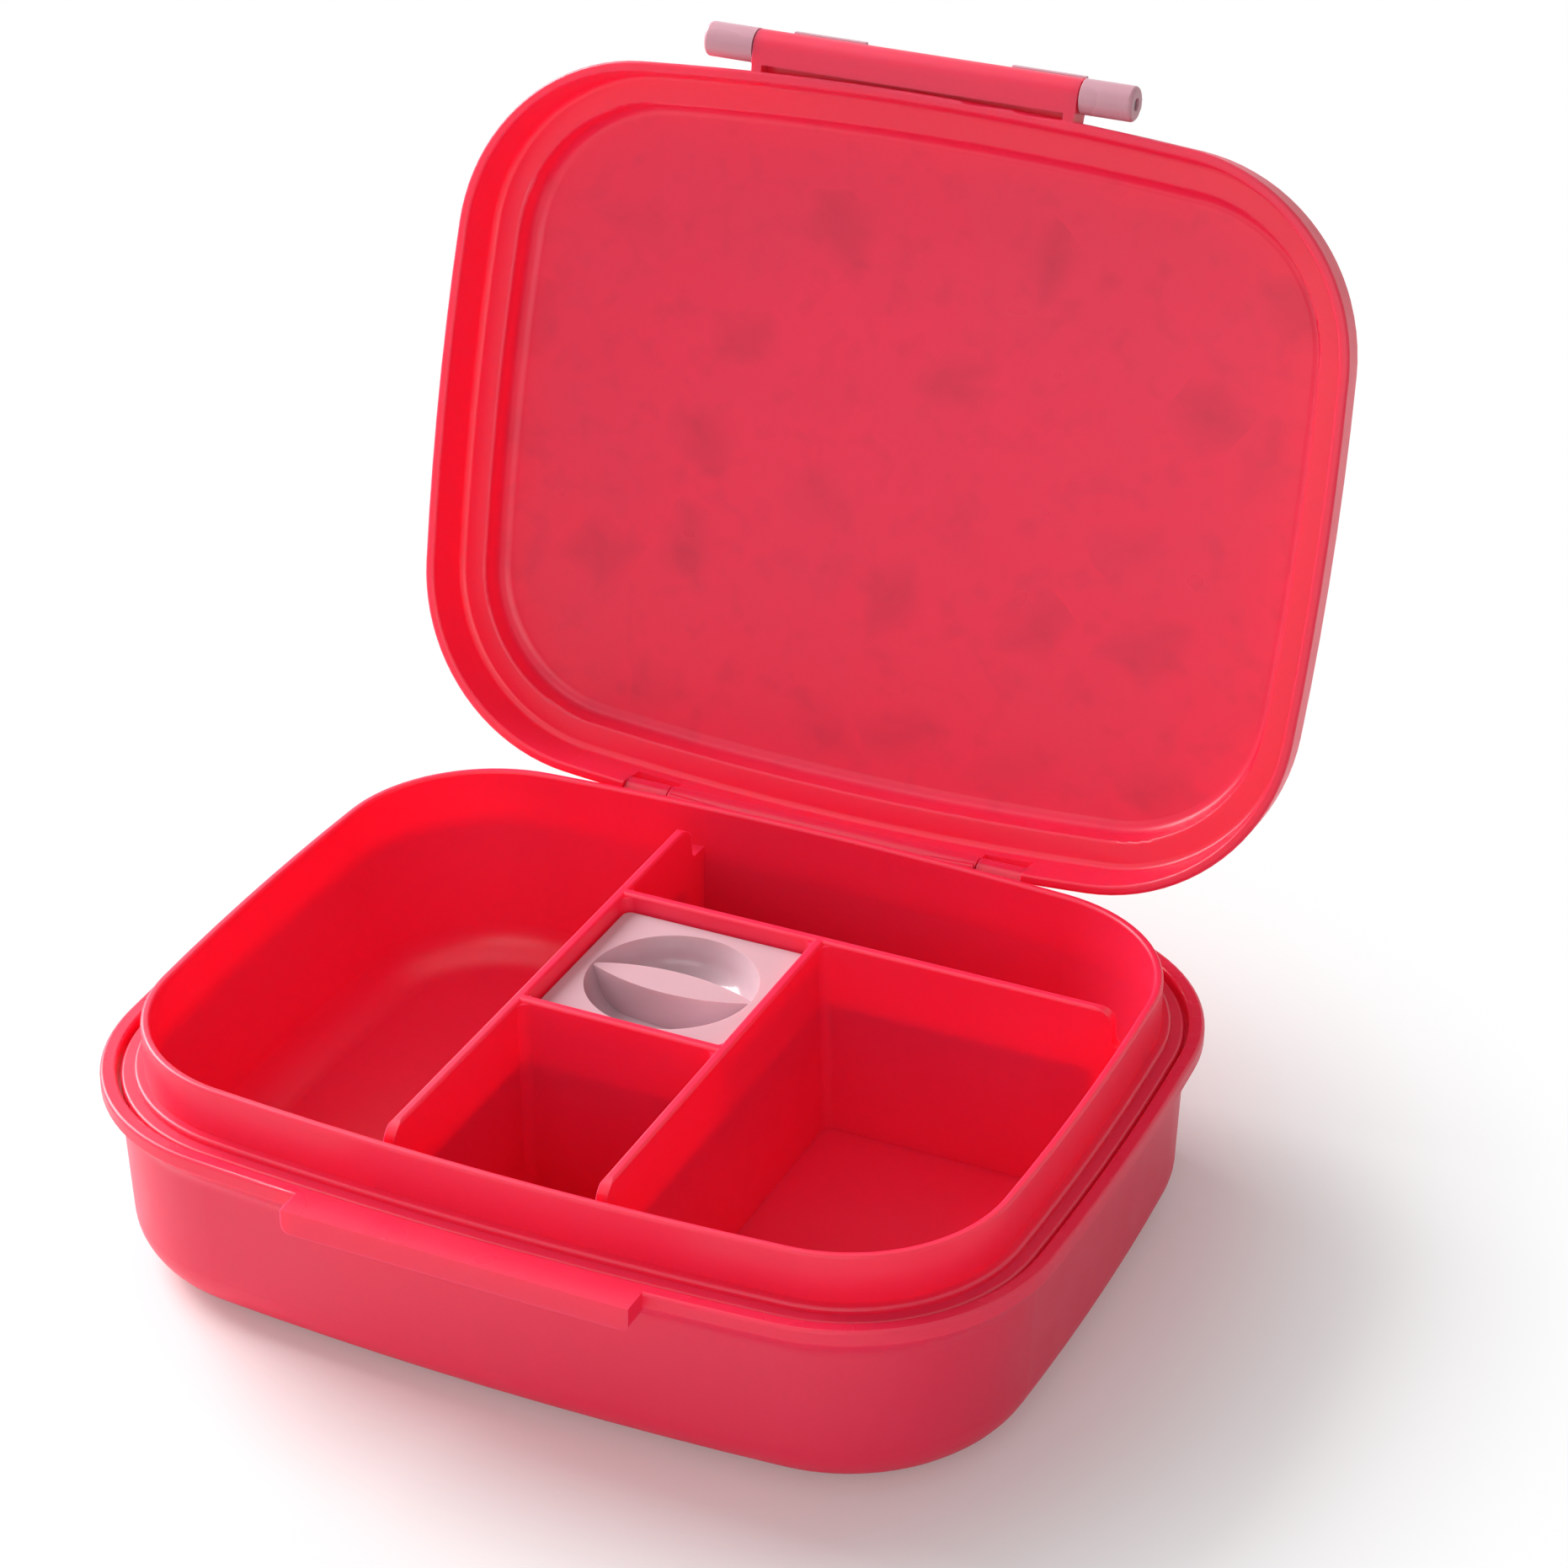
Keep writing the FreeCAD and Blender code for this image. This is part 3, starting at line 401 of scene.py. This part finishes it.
def studioFloor():
    # white laminate table: matt, with the faintest unevenness, under a painted white glow that only the
    # camera sees
    material, tree = newMaterial("WhiteLaminateWithPaintedLight")
    coords = addNode(tree, "ShaderNodeTexCoord")
    mottle = addNode(tree, "ShaderNodeTexNoise",
                     {"Scale": perMetre(floorLook["mottleSize"]), "Detail": 2.0},
                     {"Vector": coords.outputs["Object"]})
    rough = addNode(tree, "ShaderNodeMapRange",
                    {3: floorLook["smoothest"], 4: floorLook["roughest"]}, {0: mottle.outputs["Fac"]})
    shader = addNode(tree, "ShaderNodeBsdfPrincipled",
                     {"Base Color": linearColour(floorLook["colour"]),
                      "Specular IOR Level": floorLook["shine"]},
                     {"Roughness": rough.outputs[0]})
    distance = addNode(tree, "ShaderNodeVectorMath", {"operation": "DISTANCE", 1: (0, 0, 0)},
                       {0: coords.outputs["Object"]})
    fade = addNode(tree, "ShaderNodeMapRange",
                   {"interpolation_type": "SMOOTHSTEP", 1: floorLook["fadeFrom"] * mm,
                    2: floorLook["fadeTo"] * mm, 3: floorLook["paintedLightNearBox"], 4: 1.0},
                   {0: distance.outputs["Value"]})
    # painted light: a camera-only white glow, weak near the box and full further out, laid over the
    # floor's shadow
    ray = addNode(tree, "ShaderNodeLightPath")
    white = addNode(tree, "ShaderNodeMath", {"operation": "MULTIPLY"},
                    {0: fade.outputs[0], 1: ray.outputs["Is Camera Ray"]})
    paintedFloorLight = addNode(tree, "ShaderNodeEmission",
                    {"Color": linearColour(floorLook["white"]), "Strength": 1.0})
    both = addNode(tree, "ShaderNodeMixShader", {},
                   {0: white.outputs[0], 1: shader.outputs[0], 2: paintedFloorLight.outputs[0]})
    addNode(tree, "ShaderNodeOutputMaterial", {}, {"Surface": both.outputs[0]})
    floorMesh = bmesh.new()
    bmesh.ops.create_grid(floorMesh, x_segments=1, y_segments=1, size=floorLook["halfSize"])
    bmesh.ops.translate(floorMesh, verts=floorMesh.verts, vec=(0, 0, floorLook["top"] * mm))
    mesh = bpy.data.meshes.new("StudioFloor")
    floorMesh.to_mesh(mesh)
    floorMesh.free()
    mesh.materials.append(material)
    floor = bpy.data.objects.new("StudioFloor", mesh)
    scene.collection.objects.link(floor)


studioFloor()
print("floor laid")

# soft boxes, aimed at the middle of the box; places and sizes in metres
softBoxes = {
    "keyLeft": {"place": (-1.25, 0.3, 0.85), "size": (0.9, 0.9), "watts": 34.0},
    "overhead": {"place": (-0.1, 0.1, 1.5), "size": (1.2, 1.2), "watts": 2.0},
    "frontFill": {"place": (0.3, -1.6, 0.75), "size": (1.6, 0.9), "watts": 7.0},
}
aim = Vector((0, 0.03, 0.06))
for lampName, box in softBoxes.items():
    lamp = bpy.data.lights.new(lampName, "AREA")
    lamp.shape = "RECTANGLE"
    lamp.size, lamp.size_y = box["size"]
    lamp.energy = box["watts"]
    lampObject = bpy.data.objects.new(lampName, lamp)
    lampObject.location = box["place"]
    lampObject.rotation_euler = (aim - Vector(box["place"])).to_track_quat("-Z", "Y").to_euler()
    scene.collection.objects.link(lampObject)

# the room is plain white to the camera and in reflections, and dimmer as a light
room = {"colour": "#FFFFFF", "asLight": 0.29, "asSeen": 1.0}
world = bpy.data.worlds.new("WhiteStudio")
scene.world = world
world.use_nodes = True
sky = world.node_tree
sky.nodes.clear()
ray = addNode(sky, "ShaderNodeLightPath")
direct = addNode(sky, "ShaderNodeMath", {"operation": "MAXIMUM"},
                 {0: ray.outputs["Is Camera Ray"], 1: ray.outputs["Is Transmission Ray"]})
seen = addNode(sky, "ShaderNodeMath", {"operation": "MAXIMUM"},
               {0: direct.outputs[0], 1: ray.outputs["Is Glossy Ray"]})
ambient = addNode(sky, "ShaderNodeBackground",
                  {"Color": linearColour(room["colour"]), "Strength": room["asLight"]})
backdrop = addNode(sky, "ShaderNodeBackground",
                   {"Color": linearColour(room["colour"]), "Strength": room["asSeen"]})
either = addNode(sky, "ShaderNodeMixShader", {},
                 {0: seen.outputs[0], 1: ambient.outputs[0], 2: backdrop.outputs[0]})
addNode(sky, "ShaderNodeOutputWorld", {}, {"Surface": either.outputs[0]})
print("lights set")

# degrees and mm
viewpoint = {"azimuth": 25.09, "elevation": 29.35, "distance": 843.12, "target": (0, 58.94, 66.12),
             "lens": 94.31, "sensor": 36.0, "clipStart": 10.0}
turn = math.radians(viewpoint["azimuth"])
rise = math.radians(viewpoint["elevation"])
target = Vector(viewpoint["target"]) * mm
away = Vector((math.sin(turn) * math.cos(rise), -math.cos(turn) * math.cos(rise), math.sin(rise)))
camera = bpy.data.cameras.new("ProductCamera")
camera.lens = viewpoint["lens"]
camera.sensor_width = viewpoint["sensor"]
camera.clip_start = viewpoint["clipStart"] * mm
cameraObject = bpy.data.objects.new("ProductCamera", camera)
cameraObject.location = target + away * viewpoint["distance"] * mm
cameraObject.rotation_euler = (-away).to_track_quat("-Z", "Y").to_euler()
scene.collection.objects.link(cameraObject)
scene.camera = cameraObject
scene.view_settings.view_transform = "Standard"
print("camera set")
